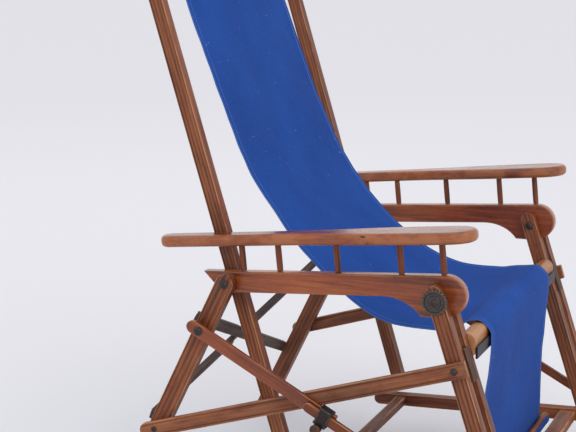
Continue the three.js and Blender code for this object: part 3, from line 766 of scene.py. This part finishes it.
def armRailOutline():
    # Side view of the arm rail: pointed tail, straight rail, belly and round scroll at the front.
    v = armValues
    tail = rearPivot[0] - v["railTail"]
    under = lambda forward: railTop(forward) - v["railHigh"] * math.hypot(1, railSlope)
    bellyEnd = frontPivot[0] - 0.098
    cusp = scrollCentre + np.array([-0.041, -0.037])
    line = lambda a, b, n: np.linspace(a, b, n, endpoint=False)
    point = lambda forward: (forward, under(forward))
    nose = arc(scrollCentre, v["scroll"], -99, 86, 30)
    return np.concatenate([
        line((tail, railTop(tail)), point(tail + 0.034), 5), line(point(tail + 0.034), point(bellyEnd), 16),
        bezier([point(bellyEnd), (bellyEnd + 0.030, under(bellyEnd) + 0.002), cusp + (-0.014, 0.018),
                cusp], 14),
        line(cusp, (scrollCentre[0] - 0.012, cusp[1]), 4), nose,
        line((scrollCentre[0] - 0.006, railTop(scrollCentre[0] - 0.006)), (tail, railTop(tail)), 18)])


def addArms():
    v = armValues
    rear, front = np.array(v["rear"]), np.array(v["front"])
    run = unit(front - rear)
    length = np.linalg.norm(front - rear)
    along = np.array([0, -run[0], run[1]])
    outline = armOutline(length)
    for label, side in sides.items():
        shell = slabShell(outline, place(side * layers["arm"], rear), along, (1, 0, 0), v["thick"],
                          v["round"], 6)
        addShells(f"armrest_{label}", "arm_frame", [shell],
                  "cracked_arm_wood" if label == "right" else "polished_wood")
        shell = slabShell(armRailOutline(), place(side * layers["rail"], (0, 0)), (0, -1, 0), (0, 0, 1),
                          v["railThick"], v["railRound"], 4)
        addShells(f"arm_rail_{label}", "arm_frame", [shell], "polished_wood")
        lean = np.array([0, run[1], run[0]])
        for index, station in enumerate(v["stations"], 1):
            foot = place(side * layers["rail"], (station, railTop(station) + 0.0004 + v["spindle"] * run[1]))
            underside = rear[1] + (station - rear[0]) * run[1] / run[0] - v["thick"] / 2 / run[0]
            high = (underside - foot[2]) * run[0] - 0.0004
            share = np.linspace(0, 1, 15)
            radius = v["spindle"] * (0.93 + 0.07 * np.sin(math.pi * share) ** 0.5)
            profile = np.stack([radius, share * high], 1)
            addShells(f"spindle_{label}_{index}", "arm_frame",
                      [turnedShell(profile, foot, lean, 20, wearLevel=0.2)])


addArms()
print("arms made")


hardwareValues = {"shank": 0.004, "head": 0.008, "screwHead": 0.0058, "pinHead": 0.0052, "headHigh": 0.005,
                  "wheel": 0.021, "wheelThick": 0.0086, "teeth": 22, "knob": 0.0095, "knobNeck": 0.0060,
                  "knobHigh": 0.011, "clipLong": 0.024, "clipWall": 0.003, "clipGap": 0.0005, "gap": 0.0004}


def boltRings(start, end, headIn=True, head=hardwareValues["head"], high=hardwareValues["headHigh"]):
    # A shank with a washer and a domed head at the outer end and, if wanted, a nut dome inside.
    shank, gap = hardwareValues["shank"], hardwareValues["gap"]
    if headIn:
        nut = [(r, 2 * (start - gap) - h) for r, h in domed(head * 0.96, start - gap, high)[::-1]]
        inside = nut + [(head, start - gap)]
    else:
        inside = [(shank * 0.5, start), (shank, start + 0.0015)]
    washer = [(head, end + gap), (head, end + 0.0014), (head * 0.86, end + 0.0017)]
    return inside + [(shank, start), (shank, end)] + washer + domed(head * 0.84, end + 0.0017, high - 0.0020)


def addHardware():
    v = hardwareValues
    inner, outerFace = layers["innerFace"], layers["outerFace"]
    for label, side in sides.items():
        def turned(kind, body, profile, point, material="black_iron", replaced=True, **options):
            shell = turnedShell(profile, place(0, point), (side, 0, 0), **options)
            addShells(f"{kind}_{label}", body, [shell], material, replaced)

        turned("rear_pivot_bolt", "arm_frame", boltRings(inner, outerFace), rearPivot)
        turned("front_pivot_bolt", "front_leg_frame", boltRings(inner, outerFace + 0.0094), frontPivot)
        turned("lower_pivot_bolt", "front_leg_frame", boltRings(0.258, layers["latchFrontFace"]), lowerPivot)
        turned("stay_screw_front", "front_leg_frame",
               boltRings(0.329, layers["stayFace"], False, head=v["screwHead"]), stayFront)
        turned("latch_bolt_rear", "rear_leg_frame", boltRings(0.329, 0.3640, False), latchRear)
        turned("stay_screw_rear", "side_stays",
               boltRings(0.3462, layers["stayFace"], False, head=v["pinHead"], high=0.003), stayRear,
               replaced=False)
        bush = [(0.0046, outerFace + 0.0005), (0.0096, outerFace + 0.0005), (0.0100, outerFace + 0.0012),
                (0.0100, 0.3638), (0.0096, 0.3645), (0.0046, 0.3645)]
        turned("latch_bush", "front_leg_frame", bush, lowerPivot)
        start = outerFace + 0.0006
        rim, thick = v["wheel"], v["wheelThick"]
        wheel = [(0.0047, start), (rim - 0.0016, start), (rim, start + 0.0012), (rim, start + thick - 0.0030),
                 (rim - 0.0016, start + thick - 0.0016), (rim - 0.0044, start + thick - 0.0016),
                 (rim - 0.0056, start + thick - 0.0030), (0.0118, start + thick - 0.0030),
                 (0.0106, start + thick - 0.0006), (0.0098, start + thick), (0.0047, start + thick)]
        turned("hand_wheel", f"hand_wheel_{label}", wheel, frontPivot, segments=v["teeth"] * 8,
               flutes=v["teeth"], fluteDeep=0.0017)

        run = unit(lowerPivot - latchRear)
        half = frameValues["latchWide"] / 2 + v["gap"]
        drop = half + v["clipWall"] + v["knob"] * 0.7
        knobAt = latchJoint + np.array([run[1], -run[0]]) * drop
        plateLow = layers["latchFrontFace"] + v["clipGap"]
        base = plateLow + v["clipWall"] + v["gap"]
        # The ball's radius follows a flattened sine from neck to neck.
        ball = [(v["knobNeck"] + (v["knob"] - v["knobNeck"]) * math.sin(a) ** 0.8,
                 base + 0.0022 + (v["knobHigh"] - 0.0046) * a / math.pi) for a in np.linspace(0, math.pi, 13)]
        knob = [(0.0030, base), (0.0052, base), (0.0052, base + 0.0012), (0.0044, base + 0.0018)] + ball + [
            (0.0042, base + v["knobHigh"] - 0.0018), (0.0036, base + v["knobHigh"] - 0.0006),
            (0.0012, base + v["knobHigh"])]
        turned("latch_knob", f"latch_knob_{label}", knob, knobAt, "spacer_wood")

        # The clip is a scalloped outer plate with a lug for the knob, and a flange above and below the lap.
        length, wall = v["clipLong"], v["clipWall"]
        ahead = np.array([0, -run[0], run[1]])
        above = np.array([0, run[1], run[0]])
        plateTop = half + wall
        lug = v["knob"] * 1.4
        wave = np.linspace(0, 1, 25)
        edge = lambda flip: np.stack([flip * (length / 2 - 0.0018 * np.abs(np.sin(3 * math.pi * wave))),
                                      -plateTop + 2 * plateTop * wave], 1)
        lugArc = arc((0, -plateTop - lug * 0.35), lug * 0.62, 180, 360, 14)
        plate = np.concatenate([edge(1), edge(-1)[::-1], [(-0.0075, -plateTop - 0.0008)], lugArc,
                                [(0.0075, -plateTop - 0.0008)]])
        middle = place(side * (plateLow + wall / 2), latchJoint)
        shells = [slabShell(plate, middle, ahead, above, wall, 0.0009, 3)]
        flangeLow = layers["latch"] - frameValues["latchThick"] / 2
        for sign in (1, -1):
            centre = place(side * (flangeLow + plateLow) / 2, latchJoint) + above * sign * (half + wall / 2)
            shells.append(barShell(centre - ahead * length / 2, centre + ahead * length / 2, above,
                                   plateLow - flangeLow, wall - 0.0002, ends=("square", "square"),
                                   arris=0.0006))
        addShells(f"latch_clip_{label}", "latch_rear_halves", shells, "black_iron")


addHardware()
print("ironwork made")


slingValues = {"stepMm": 5.0, "acrossPoints": 73, "seam": (0.430, 0.403), "ease": 30, "tilt": 0.0075,
               "dip": 0.009, "dipAt": 0.583, "dipLong": 0.013, "wave": 0.0032, "edgeWave": 0.0016,
               "hemLift": 0.0005}


def smoothCurve(points, step):
    # Catmull-Rom curve through the points, resampled at an even step along its length.
    points = np.asarray(points, float)
    padded = np.concatenate([[2 * points[0] - points[1]], points, [2 * points[-1] - points[-2]]])
    t = np.linspace(0, 1, 24, endpoint=False)[None, :, None]
    a, b, c, d = (padded[i:len(padded) - 3 + i][:, None] for i in range(4))
    fine = 0.5 * (2 * b + (c - a) * t + (2 * a - 5 * b + 4 * c - d) * t ** 2
                  + (3 * b - a - 3 * c + d) * t ** 3)
    fine = np.concatenate([fine.reshape(-1, 2), points[-1:]])
    gone = np.concatenate([[0], np.cumsum(np.linalg.norm(np.diff(fine, axis=0), axis=1))])
    even = np.linspace(0, gone[-1], int(gone[-1] / step) + 2)
    return np.stack([np.interp(even, gone, fine[:, i]) for i in (0, 1)], 1), even


def smoothNoise(x, y, seed, size):
    # A soft random height: waves of three sizes in random directions added together.
    local = np.random.default_rng(seed)
    total = np.zeros_like(x + y)
    for octave in range(3):
        for _ in range(7):
            angle, phase = local.uniform(0, 2 * math.pi, 2)
            pace = 2 * math.pi / (size / 2 ** octave) * local.uniform(0.7, 1.3)
            total = total + np.sin((x * math.cos(angle) + y * math.sin(angle)) * pace + phase) / 2 ** octave
    return total / 8


def clothSheet(name, points, startAlong, hold, ease=0):
    # The curve is carried across the width. Hems are a little thicker, the seat leans a little to one
    # side, and soft waves fade out where the cloth is held. Both faces and the rim are one closed skin.
    curve, gone = smoothCurve(points, slingValues["stepMm"] * mm)
    if ease:
        # A running mean eases the free run; the turns round the rods stay as they are.
        window = np.hanning(2 * ease + 1)
        padded = np.pad(curve, ((ease, ease), (0, 0)), mode="edge")
        eased = np.stack([np.convolve(padded[:, i], window / window.sum(), "valid") for i in (0, 1)], 1)
        curve = curve + (eased - curve) * hold(curve)[:, None]
    tangent = np.gradient(curve, axis=0)
    tangent /= np.linalg.norm(tangent, axis=1)[:, None]
    normal = np.stack([-tangent[:, 1], tangent[:, 0]], 1)
    v, wide, thick = slingValues, clothValues["wide"], clothValues["thick"]
    edgeStep = np.array([0, 0.0012, 0.005, 0.0095, 0.0110, 0.0125])
    inside = np.linspace(-wide / 2 + 0.018, wide / 2 - 0.018, v["acrossPoints"])
    across = np.concatenate([-wide / 2 + edgeStep, inside, (wide / 2 - edgeStep)[::-1]])[None, :]
    along = (gone + startAlong)[:, None]
    forward, up = curve[:, 0], curve[:, 1]
    wave = smoothNoise(across, along, 5, 0.24) * v["wave"]
    edgeWave = smoothNoise(np.sign(across) * 0.5, along, 8, 0.16)
    edgeWave = edgeWave * v["edgeWave"] * (np.abs(across) / (wide / 2)) ** 3
    lift = (wave + edgeWave) * hold(curve)[:, None]
    # The lean grows over the seat with a smooth step and ends before the seat rail.
    seat = np.clip((forward - 0.33) / 0.13, 0, 1) * np.clip((0.612 - forward) / 0.045, 0, 1)
    seat = (seat * (up < 0.47) * (up > 0.37))[:, None]
    seat = seat * seat * (3 - 2 * seat)
    # The cloth slackens just behind the seat rail: a bell across its run, deepest on the sitter's right.
    dip = np.exp(-((forward - v["dipAt"]) / v["dipLong"]) ** 2) * (up > 0.37)
    dip = dip[:, None] * v["dip"] * np.clip(0.5 - across / wide, 0, 1) ** 1.5
    half = thick / 2 + np.where(np.abs(across) > wide / 2 - 0.0118, v["hemLift"], 0.0)
    half = half * np.where(np.abs(np.abs(across) - wide / 2) < 1e-6, 0.5, 1)

    def surface(offset):
        spot = curve[:, None, :] + (lift + offset)[..., None] * normal[:, None, :]
        rise = spot[..., 1] + seat * v["tilt"] * across / (wide / 2) - dip
        return np.stack([np.broadcast_to(across, rise.shape), originY - spot[..., 0], rise], -1)

    upper, lower = surface(half), surface(-half)
    loop = np.concatenate([upper, lower[:, ::-1]], axis=1)
    rows, count = loop.shape[:2]
    index, quads = ringQuads(0, rows, count)

    def capRow(row):
        near, far = row[:count // 2], row[::-1][:count // 2]
        return np.stack([near[:-1], near[1:], far[1:], far[:-1]], 1)

    quads = np.concatenate([quads, capRow(index[0])[:, ::-1], capRow(index[-1])])
    mesh = bpy.data.meshes.new(name)
    mesh.from_pydata(loop.reshape(-1, 3), [], quads.tolist())
    flat = np.stack([np.broadcast_to(np.concatenate([across, across[:, ::-1]], 1), (rows, count)),
                     np.broadcast_to(along, (rows, count))], -1).reshape(-1, 2)
    corner = np.zeros(len(mesh.loops), int)
    mesh.loops.foreach_get("vertex_index", corner)
    layer = mesh.uv_layers.new(name="cloth")
    layer.data.foreach_set("uv", flat[corner].astype(np.float32).ravel())
    return mesh, gone[-1]


def addSling():
    # Two sheets that meet under the sitter; each is a fixed mesh that rides on no body.
    v, seam = crossValues, slingValues["seam"]
    upper = [*arc(topCentre, 0.0153, 220, 20, 9), (0.095, 0.912), (0.124, 0.835), (0.157, 0.752),
             (0.196, 0.655), (0.235, 0.583), (0.283, 0.522), (0.345, 0.458), (0.390, 0.425), seam]
    held = lambda curve: (np.clip((0.93 - curve[:, 1]) / 0.10, 0, 1)
                          * np.clip((0.418 - curve[:, 0]) / 0.05, 0, 1))
    mesh, backLong = clothSheet("canvasBack", upper, 0.0, held, slingValues["ease"])
    back = finishPiece("canvas_back", mesh, "blue_canvas", None, ["sling_back"])
    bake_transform(back)

    front = v["seatRail"][0] + v["seatDeep"] / 2 + 0.0075
    over = v["seatRail"][1] + v["seatHigh"] / 2 + 0.0019
    hem = v["hemRod"]
    lower = [seam, (0.452, 0.3945), (0.476, 0.3885), (0.505, 0.3862), (0.535, 0.3862), (0.560, 0.3868),
             (0.575, 0.3905), (0.594, 0.3975), (0.6135, over + 0.0012), (0.6295, over + 0.0012),
             (front - 0.0015, over - 0.014), (front, 0.375), (front, 0.353), (front - 0.004, 0.310),
             (front - 0.009, 0.250), (front - 0.009, 0.180), (hem[0] - 0.0093, 0.130),
             *arc(hem, 0.0103, 180, 400, 9)]
    held = lambda curve: (np.clip((curve[:, 0] - 0.442) / 0.05, 0, 1)
                          * np.clip((curve[:, 1] - 0.13) / 0.06, 0, 1)
                          * (0.25 + 0.75 * np.clip((0.36 - curve[:, 1]) / 0.05, 0, 1)))
    mesh, frontLong = clothSheet("canvasFront", lower, float(backLong), held)
    seat = finishPiece("canvas_front", mesh, "blue_canvas", None, ["sling_front"])
    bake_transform(seat)


addSling()
print("canvas made")

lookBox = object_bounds()
({"cad": [list(corner) for corner in cadBox],
           "visual": [list(corner) for corner in lookBox]})
